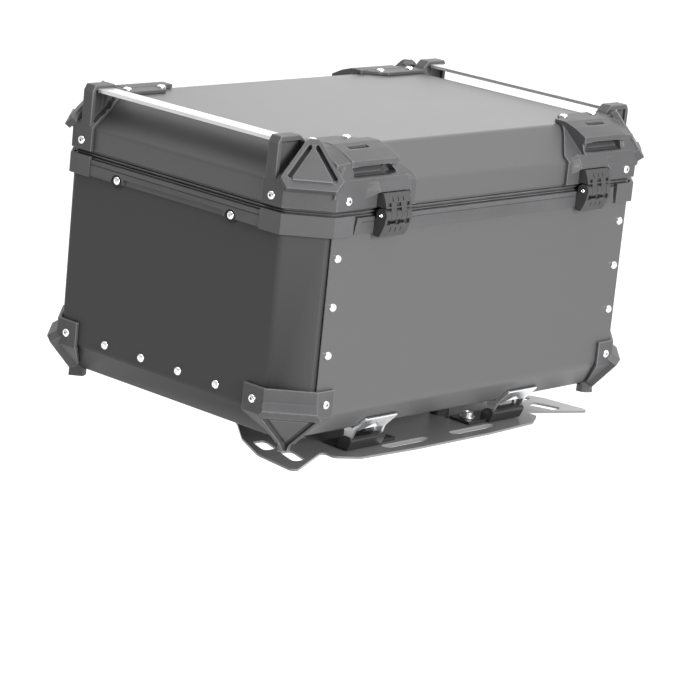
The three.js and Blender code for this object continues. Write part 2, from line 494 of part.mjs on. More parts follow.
lock = sub(lock, box(-0.8, 0.8, -219, -214.5, LOCK_Z - 4, LOCK_Z + 4));
for (const [n, sx] of [["right", 1], ["left", -1]]) {
  for (const [m, sy] of [["front", 1], ["rear", -1]]) place(lidGroup, "lid_cap_" + m + "_" + n, mirrored(lidCap, sx, sy), plastic);
  place(lidGroup, "rail_" + n, mirrored(rail, sx, 1), polished);
  place(lidGroup, "stay_pivot_" + n, mirrored(stud(pivotZ, 3.7), sx, 1), steel);
  place(lidGroup, "stay_arm_" + n, mirrored(arm, sx, 1), steel);
}
place(lidGroup, "latch_housing", latch, plastic);
place(lidGroup, "latch_lever", lever, plastic);
place(lidGroup, "latch_lever_pin", leverPin, steel);
place(lidGroup, "lock_cylinder", lock, steel);

export default group;
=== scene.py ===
import json
import math

import bmesh
import bpy
from mathutils import Matrix, Vector

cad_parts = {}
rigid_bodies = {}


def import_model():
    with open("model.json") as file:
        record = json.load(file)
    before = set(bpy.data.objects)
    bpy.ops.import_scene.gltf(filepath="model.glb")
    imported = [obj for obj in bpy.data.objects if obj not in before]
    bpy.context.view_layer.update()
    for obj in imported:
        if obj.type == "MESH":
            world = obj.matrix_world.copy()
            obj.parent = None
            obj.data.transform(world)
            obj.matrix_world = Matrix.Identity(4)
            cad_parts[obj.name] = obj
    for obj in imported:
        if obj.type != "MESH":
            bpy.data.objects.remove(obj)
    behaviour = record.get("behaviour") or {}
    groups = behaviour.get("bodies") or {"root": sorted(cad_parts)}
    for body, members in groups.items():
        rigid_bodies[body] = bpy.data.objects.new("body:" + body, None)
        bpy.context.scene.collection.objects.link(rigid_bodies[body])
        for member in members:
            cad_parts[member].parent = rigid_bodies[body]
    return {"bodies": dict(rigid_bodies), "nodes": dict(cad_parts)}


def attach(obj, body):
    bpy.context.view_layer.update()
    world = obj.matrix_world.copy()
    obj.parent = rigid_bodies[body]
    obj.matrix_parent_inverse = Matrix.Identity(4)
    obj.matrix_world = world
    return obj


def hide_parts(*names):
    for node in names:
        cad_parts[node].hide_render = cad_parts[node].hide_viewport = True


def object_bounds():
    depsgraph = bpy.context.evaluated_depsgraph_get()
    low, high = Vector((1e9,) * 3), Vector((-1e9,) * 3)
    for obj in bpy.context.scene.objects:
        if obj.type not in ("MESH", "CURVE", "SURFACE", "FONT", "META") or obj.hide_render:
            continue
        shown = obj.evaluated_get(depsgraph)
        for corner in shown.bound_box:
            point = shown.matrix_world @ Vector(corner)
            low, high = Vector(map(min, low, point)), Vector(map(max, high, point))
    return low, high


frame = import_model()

CAD_LO, CAD_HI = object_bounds()
nodes = frame["nodes"]
bodies = frame["bodies"]
scene = bpy.context.scene
MM = 0.001
CZ = 33.0  # case underside above the carrier plate's underside, mm


def V(x, y, z):
    """A point given in millimetres, z from the case's underside."""
    return Vector((x * MM, y * MM, (z + CZ) * MM))


# ---------------------------------------------------------------- materials
class Tree:
    def __init__(self, name):
        self.mat = bpy.data.materials.new(name)
        self.mat.use_nodes = True
        self.nt = self.mat.node_tree
        self.nt.nodes.clear()
        self.out = self.nt.nodes.new("ShaderNodeOutputMaterial")
        self.bsdf = self.nt.nodes.new("ShaderNodeBsdfPrincipled")
        self.link(self.bsdf.outputs["BSDF"], self.out.inputs["Surface"])
        self.co = self.nt.nodes.new("ShaderNodeTexCoord").outputs["Object"]

    def link(self, a, b):
        self.nt.links.new(a, b)

    def noise(self, scale, detail=3.0, rough=0.55, stretch=None, distortion=0.0):
        n = self.nt.nodes.new("ShaderNodeTexNoise")
        n.inputs["Scale"].default_value = scale
        n.inputs["Detail"].default_value = detail
        n.inputs["Roughness"].default_value = rough
        n.inputs["Distortion"].default_value = distortion
        if stretch:
            m = self.nt.nodes.new("ShaderNodeMapping")
            m.inputs["Scale"].default_value = stretch
            self.link(self.co, m.inputs["Vector"])
            self.link(m.outputs["Vector"], n.inputs["Vector"])
        else:
            self.link(self.co, n.inputs["Vector"])
        return n.outputs["Fac"]

    def voronoi(self, scale, feature="F1"):
        n = self.nt.nodes.new("ShaderNodeTexVoronoi")
        n.feature = feature
        n.inputs["Scale"].default_value = scale
        self.link(self.co, n.inputs["Vector"])
        return n.outputs["Distance"]

    def ramp(self, fac, stops):
        r = self.nt.nodes.new("ShaderNodeValToRGB")
        e = r.color_ramp.elements
        while len(e) > len(stops):
            e.remove(e[-1])
        while len(e) < len(stops):
            e.new(0.5)
        for el, (p, c) in zip(e, stops):
            el.position = p
            el.color = (c, c, c, 1) if isinstance(c, (int, float)) else (*c, 1)
        self.link(fac, r.inputs["Fac"])
        return r.outputs["Color"]

    def maprange(self, fac, lo, hi, a, b):
        m = self.nt.nodes.new("ShaderNodeMapRange")
        m.inputs["From Min"].default_value = lo
        m.inputs["From Max"].default_value = hi
        m.inputs["To Min"].default_value = a
        m.inputs["To Max"].default_value = b
        self.link(fac, m.inputs["Value"])
        return m.outputs["Result"]

    def math(self, op, a, b):
        m = self.nt.nodes.new("ShaderNodeMath")
        m.operation = op
        for s, v in zip(m.inputs, (a, b)):
            if isinstance(v, (int, float)):
                s.default_value = v
            else:
                self.link(v, s)
        return m.outputs["Value"]

    def mix(self, fac, a, b):
        m = self.nt.nodes.new("ShaderNodeMix")
        m.data_type = "RGBA"
        for s, v in ((m.inputs["Factor"], fac), (m.inputs["A"], a), (m.inputs["B"], b)):
            if isinstance(v, (int, float)):
                s.default_value = v
            elif isinstance(v, tuple):
                s.default_value = (*v, 1)
            else:
                self.link(v, s)
        sockets = [s for s in m.inputs if s.type == "RGBA"]
        for s, v in zip(sockets, (a, b)):
            if isinstance(v, tuple):
                s.default_value = (*v, 1)
            else:
                for l in list(s.links):
                    self.nt.links.remove(l)
                self.link(v, s)
        return [o for o in m.outputs if o.type == "RGBA"][0]

    def bump(self, height, strength, distance, normal=None):
        b = self.nt.nodes.new("ShaderNodeBump")
        b.inputs["Strength"].default_value = strength
        b.inputs["Distance"].default_value = distance
        self.link(height, b.inputs["Height"])
        if normal is not None:
            self.link(normal, b.inputs["Normal"])
        return b.outputs["Normal"]

    def pointiness(self, lo, hi):
        g = self.nt.nodes.new("ShaderNodeNewGeometry")
        return self.ramp(g.outputs["Pointiness"], [(lo, 0.0), (hi, 1.0)])

    def color(self, socket):
        self.link(socket, self.bsdf.inputs["Base Color"])

    def rough(self, socket):
        self.link(socket, self.bsdf.inputs["Roughness"])

    def normal(self, socket):
        self.link(socket, self.bsdf.inputs["Normal"])

    def fixed(self, **kw):
        for k, v in kw.items():
            s = self.bsdf.inputs[k.replace("_", " ")]
            s.default_value = v


def coated(name, tone, rough=(0.452, 0.464), orange=0.06, sheen=0.5):
    """Powder coat on sheet metal: faint orange peel, fine grain, slightly cloudy tone."""
    t = Tree(name)
    cloud = t.noise(5.0, 4, 0.6)
    fine = t.noise(650.0, 2, 0.6)
    base = t.mix(t.maprange(cloud, 0.3, 0.7, 0, 1), tuple(c * 0.991 for c in tone), tuple(c * 1.009 for c in tone))
    speck = t.mix(t.maprange(fine, 0.58, 0.75, 0, 0.07), base, tuple(min(1, c * 1.7 + 0.01) for c in tone))
    t.color(speck)
    smudge = t.noise(9.0, 5, 0.7, distortion=0.6)
    t.rough(t.math("ADD", t.maprange(smudge, 0.3, 0.7, rough[0], rough[1]), t.maprange(fine, 0.3, 0.7, -0.01, 0.01)))
    peel = t.noise(260.0, 2, 0.5)
    n = t.bump(peel, orange, 0.0004)
    t.normal(t.bump(fine, 0.03, 0.0002, n))
    t.fixed(Metallic=0.0, IOR=1.52, Specular_IOR_Level=sheen)
    return t.mat


def moulded(name, tone, rough=(0.52, 0.64), grain=0.28, scale=1100.0, wear_and_highlight=0.1, pale=2.1):
    """Moulded plastic with a fine spark-eroded texture and slightly polished corners; edges and corners are also paler
    in colour, a painted edge highlight that is partly wear.
    """
    t = Tree(name)
    cloud = t.noise(14.0, 3, 0.6)
    cell = t.voronoi(scale)
    fine = t.noise(scale * 0.8, 2, 0.7)
    base = t.mix(t.maprange(cloud, 0.3, 0.7, 0, 1), tuple(c * 0.88 for c in tone), tuple(c * 1.12 for c in tone))
    pit = t.mix(t.maprange(cell, 0.05, 0.5, 0.45, 0), base, tuple(c * 0.55 for c in tone))
    # edge mask from pointiness: the paler colour here is a painted edge highlight, partly wear; the lower roughness is
    # real polish
    edge = t.pointiness(0.508, 0.575)
    t.color(t.mix(t.math("MULTIPLY", edge, wear_and_highlight), pit, tuple(min(1, c * pale + 0.02) for c in tone)))
    r = t.maprange(t.noise(22.0, 4, 0.6), 0.3, 0.7, rough[0], rough[1])
    t.rough(t.math("SUBTRACT", r, t.math("MULTIPLY", edge, 0.10)))
    n = t.bump(fine, grain, 0.00025)
    t.normal(t.bump(cell, grain * 0.6, 0.0002, n))
    t.fixed(Metallic=0.0, IOR=1.49)
    return t.mat


def steel(name, tone, rough=(0.22, 0.36), stretch=(1, 1, 1), brushed=0.12, scale=900.0, metal=1.0):
    t = Tree(name)
    streak = t.noise(scale, 4, 0.6, stretch)
    cloud = t.noise(30.0, 4, 0.6)
    base = t.mix(t.maprange(streak, 0.3, 0.7, 0, 1), tuple(c * 0.90 for c in tone), tuple(min(1, c * 1.06) for c in tone))
    t.color(t.mix(t.maprange(cloud, 0.5, 0.75, 0, 0.35), base, tuple(c * 0.80 for c in tone)))
    t.rough(t.math("ADD", t.maprange(cloud, 0.3, 0.7, rough[0], rough[1]), t.maprange(streak, 0.3, 0.7, -0.04, 0.04)))
    t.normal(t.bump(streak, brushed, 0.0002))
    t.fixed(Metallic=metal)
    return t.mat


def rubbery(name, tone, rough=(0.62, 0.78)):
    t = Tree(name)
    cloud = t.noise(25.0, 4, 0.6)
    fine = t.noise(1500.0, 2, 0.6)
    base = t.mix(t.maprange(cloud, 0.3, 0.7, 0, 1), tuple(c * 0.8 for c in tone), tuple(c * 1.25 for c in tone))
    t.color(t.mix(t.maprange(fine, 0.6, 0.8, 0, 0.4), base, tuple(c * 2 + 0.01 for c in tone)))
    t.rough(t.maprange(cloud, 0.3, 0.7, rough[0], rough[1]))
    t.normal(t.bump(fine, 0.2, 0.0002))
    t.fixed(Metallic=0.0, IOR=1.5)
    return t.mat


M_SHELL = coated("powder_coat_shell", (0.060, 0.060, 0.061))
# same powder coat as the shell, toned darker: painted shade for the side panels' shaded faces
M_SIDE = coated("powder_coat_side_painted_shade", (0.050, 0.050, 0.051), sheen=0.1)
# black carrier coat toned lighter: painted light, so the wing under the case reads as lit
M_PLATE = coated("satin_coat_carrier_painted_light", (0.135, 0.135, 0.136), rough=(0.30, 0.38), orange=0.06)
# caps: strongest painted edge highlight along their edges, partly wear
M_CAP = moulded("grained_plastic_caps", (0.050, 0.050, 0.052), wear_and_highlight=0.85, pale=2.9)
M_RIM = moulded("grained_plastic_rims", (0.052, 0.052, 0.054))
M_HINGE = moulded("grained_plastic_hinges", (0.030, 0.030, 0.031), scale=1300.0)
# black steel parts; on the side flanges the same black is painted shade in the seam gap
M_DARK = coated("black_steel_parts_and_seam_shade", (0.016, 0.016, 0.017), rough=(0.34, 0.46), orange=0.05)
M_RAIL = steel("polished_rail", (0.62, 0.62, 0.625), rough=(0.26, 0.34), stretch=(1, 0.02, 1), brushed=0.05, metal=0.75)
M_STEEL = steel("bright_steel", (0.80, 0.81, 0.82), rough=(0.26, 0.38), stretch=(1, 0.08, 1))
M_SCREW = steel("screw_steel", (0.88, 0.885, 0.89), rough=(0.18, 0.28), brushed=0.05, scale=1500.0)
# black rubber for the rest pads; on the rim screw cups it is painted shade
M_RUBBER = rubbery("black_rubber_and_pocket_shade", (0.012, 0.012, 0.013))
# seal rubber toned lighter grey: painted highlight for the bright lines along its beads
M_SEAL = rubbery("seal_rubber_painted_highlight", (0.075, 0.075, 0.076), rough=(0.32, 0.45))


# ---------------------------------------------------------------- mesh helpers
def link(ob):
    scene.collection.objects.link(ob)
    return ob


def paint(ob, mat):
    ob.data.materials.clear()
    ob.data.materials.append(mat)
    for p in ob.data.polygons:
        p.material_index = 0
    return ob


def settle(ob, body, mat, *replaced):
    paint(ob, mat)
    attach(ob, body)
    if replaced:
        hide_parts(*replaced)
    return ob


def from_pydata(name, verts, faces):
    me = bpy.data.meshes.new(name)
    me.from_pydata([tuple(v) for v in verts], [], faces)
    me.validate()
    me.update()
    ob = link(bpy.data.objects.new(name, me))
    return ob


def from_bmesh(name, bm):
    me = bpy.data.meshes.new(name)
    bmesh.ops.recalc_face_normals(bm, faces=bm.faces)
    bm.to_mesh(me)
    bm.free()
    return link(bpy.data.objects.new(name, me))


def evaluated(ob):
    """Applies the object's modifiers."""
    dg = bpy.context.evaluated_depsgraph_get()
    dg.update()
    me = bpy.data.meshes.new_from_object(ob.evaluated_get(dg))
    old = ob.data
    ob.modifiers.clear()
    ob.data = me
    bpy.data.meshes.remove(old)
    return ob


def smooth_by_angle(ob, deg=35):
    for p in ob.data.polygons:
        p.use_smooth = True
    ob.data.set_sharp_from_angle(angle=math.radians(deg))


def edge_round(ob, width, segments=2, angle=30, clamp=True, weld=False):
    """Round edges as modifiers, the mesh itself untouched."""
    if weld:
        w = ob.modifiers.new("weld", "WELD")
        w.merge_threshold = 2e-6
        d = ob.modifiers.new("planar", "DECIMATE")
        d.decimate_type = "DISSOLVE"
        d.angle_limit = math.radians(0.6)
    b = ob.modifiers.new("round", "BEVEL")
    b.width = width * MM
    b.segments = segments
    b.limit_method = "ANGLE"
    b.angle_limit = math.radians(angle)
    b.use_clamp_overlap = clamp
    b.miter_outer = "MITER_ARC"
    n = ob.modifiers.new("normals", "WEIGHTED_NORMAL")
    n.keep_sharp = False
    n.weight = 80
    return ob


def remove(ob):
    me = ob.data
    bpy.data.objects.remove(ob)
    if isinstance(me, bpy.types.Mesh) and me.users == 0:
        bpy.data.meshes.remove(me)


# ---------------------------------------------------------------- camera
cam = bpy.data.cameras.new("camera")
cam.sensor_width = 36.0
cam.lens = 162.83
cam.clip_start = 0.1
cam.clip_end = 60.0
camera = link(bpy.data.objects.new("camera", cam))
right = Vector((-0.68207, 0.72454, 0.09911))
up = Vector((-0.11360, -0.23886, 0.96439))
back = Vector((0.72241, 0.64652, 0.24523))
camera.matrix_world = Matrix((
    (right.x, up.x, back.x, 2.6075),
    (right.y, up.y, back.y, 2.3500),
    (right.z, up.z, back.z, 0.9526),
    (0, 0, 0, 1),
))
scene.camera = camera

# ---------------------------------------------------------------- outlines, mm
HALF_W, HALF_D, CH_X, CH_Y = 285.0, 195.8, 39.0, 36.0
CNX, CNY = CH_Y / math.hypot(CH_X, CH_Y), CH_X / math.hypot(CH_X, CH_Y)
CHD = CNX * HALF_W + CNY * (HALF_D - CH_Y)


def octagon(off):
    X, Y, d = HALF_W + off, HALF_D + off, CHD + off
    y1, x1 = (d - CNX * X) / CNY, (d - CNY * Y) / CNX
    return [(X, -y1), (X, y1), (x1, Y), (-x1, Y), (-X, y1), (-X, -y1), (-x1, -Y), (x1, -Y)]


def fillet(pts, radius, n=5, closed=True):
    """Rounds a polyline's corners. radius is one number or one for each corner."""
    out, m = [], len(pts)
    for i, p in enumerate(pts):
        r = radius[i] if isinstance(radius, (list, tuple)) else radius
        if not closed and i in (0, m - 1) or r <= 0:
            out.append(tuple(p))
            continue
        a, b, c = Vector(pts[i - 1]), Vector(p), Vector(pts[(i + 1) % m])
        u, v = (a - b).normalized(), (c - b).normalized()
        half = u.angle(v) / 2
        t = min(r / math.tan(half), 0.49 * (a - b).length, 0.49 * (c - b).length)
        rr = t * math.tan(half)
        centre = b + (u + v).normalized() * (rr / math.sin(half))
        s, e = b + u * t - centre, b + v * t - centre
        ang = s.angle(e)
        for k in range(n + 1):
            f = k / n
            w = (s * math.sin((1 - f) * ang) + e * math.sin(f * ang)) / math.sin(ang) if ang > 1e-6 else s
            out.append(tuple(centre + w))
    return out


def swept_ring(name, profile, radius=9.0):
    """A closed ring round the case: profile is a closed loop of (offset from the outline, z)."""
    loops = [fillet(octagon(o), radius + o, 4) for o, _ in profile]
    n, m = len(loops[0]), len(profile)
    verts = [V(x, y, profile[k][1]) for k in range(m) for x, y in loops[k]]
    faces = []
    for k in range(m):
        for i in range(n):
            a, b = k * n + i, k * n + (i + 1) % n
            c, d = ((k + 1) % m) * n + (i + 1) % n, ((k + 1) % m) * n + i
            faces.append((a, b, c, d))
    bm = bmesh.new()
    vs = [bm.verts.new(v) for v in verts]
    for f in faces:
        bm.faces.new([vs[i] for i in f])
    return from_bmesh(name, bm)


def plate(name, loops, z0, z1, world):
    """A flat plate with holes: loops of (u, v), the outline first; world turns (u, v, w) in mm into a point."""
    bm = bmesh.new()
    low, high = [], []
    for w, store in ((z0, low), (z1, high)):
        edges = []
        for loop in loops:
            vs = [bm.verts.new(world(u, v, w)) for u, v in loop]
            store.append(vs)
            edges += [bm.edges.new((vs[i], vs[(i + 1) % len(vs)])) for i in range(len(vs))]
        bmesh.ops.triangle_fill(bm, use_beauty=True, use_dissolve=False, edges=edges)
    for a, b in zip(low, high):
        for i in range(len(a)):
            j = (i + 1) % len(a)
            bm.faces.new((a[i], a[j], b[j], b[i]))
    return from_bmesh(name, bm)


def flat(u, v, w):
    return Vector((u * MM, v * MM, w * MM))


def solidify(ob, thickness, offset=-1.0):
    m = ob.modifiers.new("sheet", "SOLIDIFY")
    m.thickness = thickness * MM
    m.offset = offset
    m.use_even_offset = True
    m.use_quality_normals = True
    return ob


def weighted(ob):
    for p in ob.data.polygons:
        p.use_smooth = True
    n = ob.modifiers.new("normals", "WEIGHTED_NORMAL")
    n.weight = 80
    return ob


def copy_node(node, name):
    """A solid from a CAD node's surface with shared corners, its polygons copied as they are."""
    src = nodes[node].data
    bm = bmesh.new()
    made, vs = {}, []
    for v in src.vertices:
        k = tuple(round(c * 2e5) for c in v.co)
        if k not in made:
            made[k] = bm.verts.new(v.co)
        vs.append(made[k])
    for p in src.polygons:
        f = [vs[i] for i in p.vertices]
        if len(set(f)) == len(f):
            try:
                bm.faces.new(f)
            except ValueError:
                pass
    return from_bmesh(name, bm)


def boolean(ob, tool, operation="DIFFERENCE"):
    m = ob.modifiers.new("cut", "BOOLEAN")
    m.operation = operation
    m.solver = "EXACT"
    m.object = tool
    evaluated(ob)
    remove(tool)
    return ob


def extrusion(name, axis, pts, a, b, case=True):
    """A closed prism: x takes (y, z), y takes (x, z), z takes (x, y)."""
    def at(u, v, w):
        p = {"x": (w, u, v), "y": (u, w, v), "z": (u, v, w)}[axis]
        return V(*p) if case else flat(*p)
    bm = bmesh.new()
    lo = [bm.verts.new(at(u, v, a)) for u, v in pts]
    hi = [bm.verts.new(at(u, v, b)) for u, v in pts]
    bm.faces.new(lo)
    bm.faces.new(hi)
    for i in range(len(pts)):
        j = (i + 1) % len(pts)
        bm.faces.new((lo[i], lo[j], hi[j], hi[i]))
    return from_bmesh(name, bm)


def melt(ob, voxel, passes, factor=0.5, keep=None):
    """Joins overlapping solids into one moulded skin with blended edges and corners."""
    m = ob.modifiers.new("skin", "REMESH")
    m.mode = "VOXEL"
    m.voxel_size = voxel * MM
    m.use_smooth_shade = True
    s = ob.modifiers.new("soften", "SMOOTH")
    s.factor = factor
    s.iterations = passes
    if keep:
        d = ob.modifiers.new("lighten", "DECIMATE")
        d.ratio = keep
    evaluated(ob)
    for p in ob.data.polygons:
        p.use_smooth = True
    return ob


def flipped(ob, name, sx, sy):
    me = ob.data.copy()
    me.transform(Matrix.Diagonal((sx, sy, 1, 1)))
    if sx * sy < 0:
        me.flip_normals()
    new = link(bpy.data.objects.new(name, me))
    return new


# ---------------------------------------------------------------- CAD nodes kept as they are
LOOK = {}
for n in nodes:
    if n in ("claw_right", "claw_left", "hinge_pin_right", "hinge_pin_left", "rail_right", "rail_left"):
        continue
    if n.startswith("rail"):
        LOOK[n] = (M_RAIL, 0.25)
    elif n.startswith("rest_pad"):
        LOOK[n] = (M_RUBBER, 0.8)
    elif n.startswith(("carrier_lock_block", "latch_keeper", "carrier_striker")):
        LOOK[n] = (M_DARK, 0.6)
    elif n.startswith("hinge_leaf"):
        LOOK[n] = (M_HINGE, 0.35)
    elif n.startswith(("claw", "hinge_pin", "rivet", "stay", "lock_cylinder", "carrier_lock_knob", "latch_lever_pin")):
        LOOK[n] = (M_STEEL, 0.35)
    elif n in ("wrap_sheet", "lid_shell", "seal", "base_plate", "rim_right", "rim_left", "rim_front", "rim_rear") or n.startswith(("side_panel", "lid_cap", "bottom_cap", "claw_right", "claw_left", "hinge_pin")):
        continue
    else:
        LOOK[n] = (M_RIM, 0.7)
for n, (mat, width) in LOOK.items():
    paint(nodes[n], mat)
    edge_round(nodes[n], width, 2, 30, weld=True)
    if n == "lid_frame" or n.startswith(("hinge_leaf", "stay_stud", "claw_bolt", "carrier_lock_knob")):
        nodes[n].modifiers.remove(nodes[n].modifiers["planar"])

# ---------------------------------------------------------------- folded sheets
bm = bmesh.new()
low = [bm.verts.new(V(x, y, 256)) for x, y in octagon(0)]
fold = [bm.verts.new(V(x, y, 280)) for x, y in octagon(0)]
top = [bm.verts.new(V(x, y, 314.4)) for x, y in ((247, -155.8), (247, 155.8), (-247, 155.8), (-247, -155.8))]
for i in range(8):
    bm.faces.new((low[i], low[(i + 1) % 8], fold[(i + 1) % 8], fold[i]))
bm.faces.new((fold[0], fold[1], top[1], top[0]))
bm.faces.new((fold[2], fold[3], top[2], top[1]))
bm.faces.new((fold[4], fold[5], top[3], top[2]))
bm.faces.new((fold[6], fold[7], top[0], top[3]))
for a, b, c in ((1, 2, 1), (3, 4, 2), (5, 6, 3), (7, 0, 0)):
    bm.faces.new((fold[a], fold[b], top[c]))
bm.faces.new(top)
bmesh.ops.recalc_face_normals(bm, faces=bm.faces)
hard = [e for e in bm.edges if len(e.link_faces) == 2]
bmesh.ops.bevel(bm, geom=hard, offset=3.2 * MM, offset_type="OFFSET", segments=4, profile=0.5, affect="EDGES", clamp_overlap=True)
lid_skin = from_bmesh("lid_sheet", bm)
solidify(lid_skin, 2.0)
weighted(lid_skin)
settle(lid_skin, "lid", M_SHELL, "lid_shell")

prof = fillet([(195.8, 243), (195.8, 35), (160.8, 0), (-160.8, 0), (-195.8, 35), (-195.8, 243)], 15, 8, closed=False)
bm = bmesh.new()
cols = []
for x in (-245.3, -82, 82, 245.3):
    cols.append([bm.verts.new(V(x, y, z)) for y, z in prof])
for a, b in zip(cols, cols[1:]):
    for i in range(len(prof) - 1):
        bm.faces.new((a[i], a[i + 1], b[i + 1], b[i]))
wrap = from_bmesh("wrap_sheet_skin", bm)
if sum((p.normal.dot(p.center - V(0, 0, 120))) for p in wrap.data.polygons) < 0:
    wrap.data.flip_normals()
solidify(wrap, 2.0)
weighted(wrap)
settle(wrap, "case", M_SHELL, "wrap_sheet")

for side, sx in (("right", 1), ("left", -1)):
    bm = bmesh.new()
    A0, A1 = (285, -159.8), (285, 159.8)
    ends = fillet([(285, 159.8), (250.6, 191.55), (246.7, 192.6)], 1.4, 3, closed=False)[1:]
    plan = [(x, -y) for x, y in reversed(ends)] + [A0, A1] + list(ends)
    plan = [p for i, p in enumerate(plan)]
    hi = [bm.verts.new(V(x * sx, y, 243)) for x, y in plan]
    lo = [bm.verts.new(V(x * sx, y, 35)) for x, y in plan]
    for i in range(len(plan) - 1):
        bm.faces.new((lo[i], lo[i + 1], hi[i + 1], hi[i]))
    k = len(ends)
    b0, b1 = bm.verts.new(V(250 * sx, -160.8, 0)), bm.verts.new(V(250 * sx, 160.8, 0))
    c0, c1 = bm.verts.new(V(246.7 * sx, -160.8, 0)), bm.verts.new(V(246.7 * sx, 160.8, 0))
    bm.faces.new((b0, b1, lo[k + 1], lo[k]))
    bm.faces.new((c0, c1, b1, b0))
    tail = [lo[i] for i in range(k + 1, len(plan))]
    head = [lo[i] for i in range(0, k + 1)]
    bm.faces.new([b1] + tail[:2])
    bm.faces.new([c0, head[-2], head[-1], b0])
    for i in range(1, len(tail) - 1):
        bm.faces.new((b1, tail[i], tail[i + 1]))
    bm.faces.new((b1, tail[-1], c1))
    for i in range(len(head) - 2):
        bm.faces.new((c0, head[i], head[i + 1]))
    bmesh.ops.recalc_face_normals(bm, faces=bm.faces)
    bm.edges.ensure_lookup_table()
    def between(p, q):
        return bm.edges.get((p, q))
    bmesh.ops.bevel(bm, geom=[between(b0, b1)], offset=2.4 * MM, offset_type="OFFSET", segments=4, profile=0.5, affect="EDGES", clamp_overlap=True)
    folds = [between(lo[k], hi[k]), between(lo[k + 1], hi[k + 1]), between(lo[k], lo[k + 1])]
    bmesh.ops.bevel(bm, geom=[e for e in folds if e], offset=5.0 * MM, offset_type="OFFSET", segments=5, profile=0.5, affect="EDGES", clamp_overlap=True)
    ob = from_bmesh("side_sheet_" + side, bm)
    if sum(p.normal.dot(p.center - V(200 * sx, 0, 120)) * p.area for p in ob.data.polygons) < 0:
        ob.data.flip_normals()
    solidify(ob, 2.0)
    weighted(ob)
    settle(ob, "case", M_SIDE, "side_panel_" + side)
    # joggled flange behind the wrapped sheet, in black as painted shade for the seam gap
    pf = fillet([(193.3, 226), (193.3, 36), (159.6, 2.5), (-159.6, 2.5), (-193.3, 36), (-193.3, 226)], 13, 8, closed=False)
    bm = bmesh.new()
    ca = [bm.verts.new(V(222 * sx, y, z)) for y, z in pf]
    cb = [bm.verts.new(V(247.4 * sx, y, z)) for y, z in pf]
    for i in range(len(pf) - 1):
        bm.faces.new((ca[i], ca[i + 1], cb[i + 1], cb[i]))
    fl = from_bmesh("side_flange_" + side, bm)
    if sum(p.normal.dot(p.center - V(230 * sx, 0, 120)) * p.area for p in fl.data.polygons) < 0:
        fl.data.flip_normals()
    solidify(fl, 2.0)
    weighted(fl)
    settle(fl, "case", M_DARK)

# ---------------------------------------------------------------- seal with its bead
seal = swept_ring("lid_seal", [(-6, 246.8), (-1.4, 246.8), (-0.7, 247.1), (-0.4, 247.7), (-0.7, 248.3), (-2.4, 248.7), (-4.2, 249.0), (-4.2, 250.2), (-2.4, 250.5), (-0.6, 250.8), (-0.3, 251.4), (-0.6, 252.0), (-1.4, 252.2), (-6, 252.2)])
smooth_by_angle(seal, 50)
settle(seal, "case", M_SEAL, "seal")

# ---------------------------------------------------------------- carrier plate
def slot_pts(cx, cy, lx, ly, n=8):
    pts, r = [], min(lx, ly) / 2
    along, h = lx >= ly, max(lx, ly) / 2 - min(lx, ly) / 2
    for k in range(2):
        for i in range(n + 1):
            t = (-0.5 + i / n) * math.pi + k * math.pi
            u, v = (h if k == 0 else -h) + r * math.cos(t), r * math.sin(t)
            pts.append((cx + u, cy + v) if along else (cx - v, cy + u))
    return pts


def window_pts(cx, cy, lx, ly, c, lean):
    hx, hy = lx / 2, ly / 2
    q = [(hx, -hy), (hx, hy), (-hx, hy), (-hx, -hy)]
    q = [(cx + x + lean * y / hy, cy + y) for x, y in q]
    return fillet(q, c, 5)


half = [(63, 183), (145, 178), (171, 162), (168, 142), (243, 177), (248, 171), (240, 114), (212, 62), (177, 20), (118, -66), (118, -150), (100, -168), (62, -190)]
ring_pts = half + [(-x, y) for x, y in reversed(half)]
outline = fillet(ring_pts, [10, 10, 8, 7, 5, 5, 30, 40, 30, 30, 14, 14, 14] + [14, 14, 14, 30, 30, 40, 30, 5, 5, 7, 8, 10, 10], 5)
loops = [outline]
for s in (1, -1):
    loops += [window_pts(s * 210, 95, 19, 30, 5, s * 6), window_pts(s * 211, 138.5, 18, 33, 5, s * 6)]
    loops += [slot_pts(s * 56, 163, 74, 12), slot_pts(s * 150, 75, 12, 44), slot_pts(s * 42, 40, 10, 46), slot_pts(s * 42, -45, 10, 46)]
    loops.append([(s * 76 + 4.4 * math.cos(t * math.pi / 8), 137 + 4.4 * math.sin(t * math.pi / 8)) for t in range(16)])
carrier_plate = plate("carrier_plate", loops, 2.5, 5, flat)
edge_round(carrier_plate, 0.6, 2, 50)
for p in carrier_plate.data.polygons:
    p.use_smooth = True
core = [(-x, y) for x, y in reversed([(63, 176), (140, 171), (160, 158), (160, 60), (112, -62), (112, -150), (98, -162), (62, -182)])]
core = [(x, y) for x, y in [(63, 176), (140, 171), (160, 158), (166, 60), (112, -62), (112, -150), (98, -162), (62, -182)]] + [(-166 if x == -160 and y == 60 else x, y) for x, y in core]
core_loops = [fillet(core, 10, 4)] + [q for q in loops[1:] if max(abs(u) for u, v in q) < 170 and max(abs(u) for u, v in q) < 158]
carrier_core = plate("carrier_plate_core", core_loops, 0, 2.6, flat)
edge_round(carrier_core, 0.6, 2, 50)
for p in carrier_core.data.polygons:
    p.use_smooth = True
settle(carrier_core, "carrier", M_PLATE)
settle(carrier_plate, "carrier", M_PLATE, "base_plate")

# ---------------------------------------------------------------- corner caps
def facet_frame(origin, down):
    o = Vector(origin)
    e = Vector((-CH_X, CH_Y, 0)).normalized()
    d = Vector(down).normalized()
    n = e.cross(d)
    if n.x < 0:
        n.negate()
    return lambda u, v, w: V(*(o + e * u + d * v + n * w))


emblem = facet_frame((251, 162.4, 325.3), (24.8, 27, -48.2))


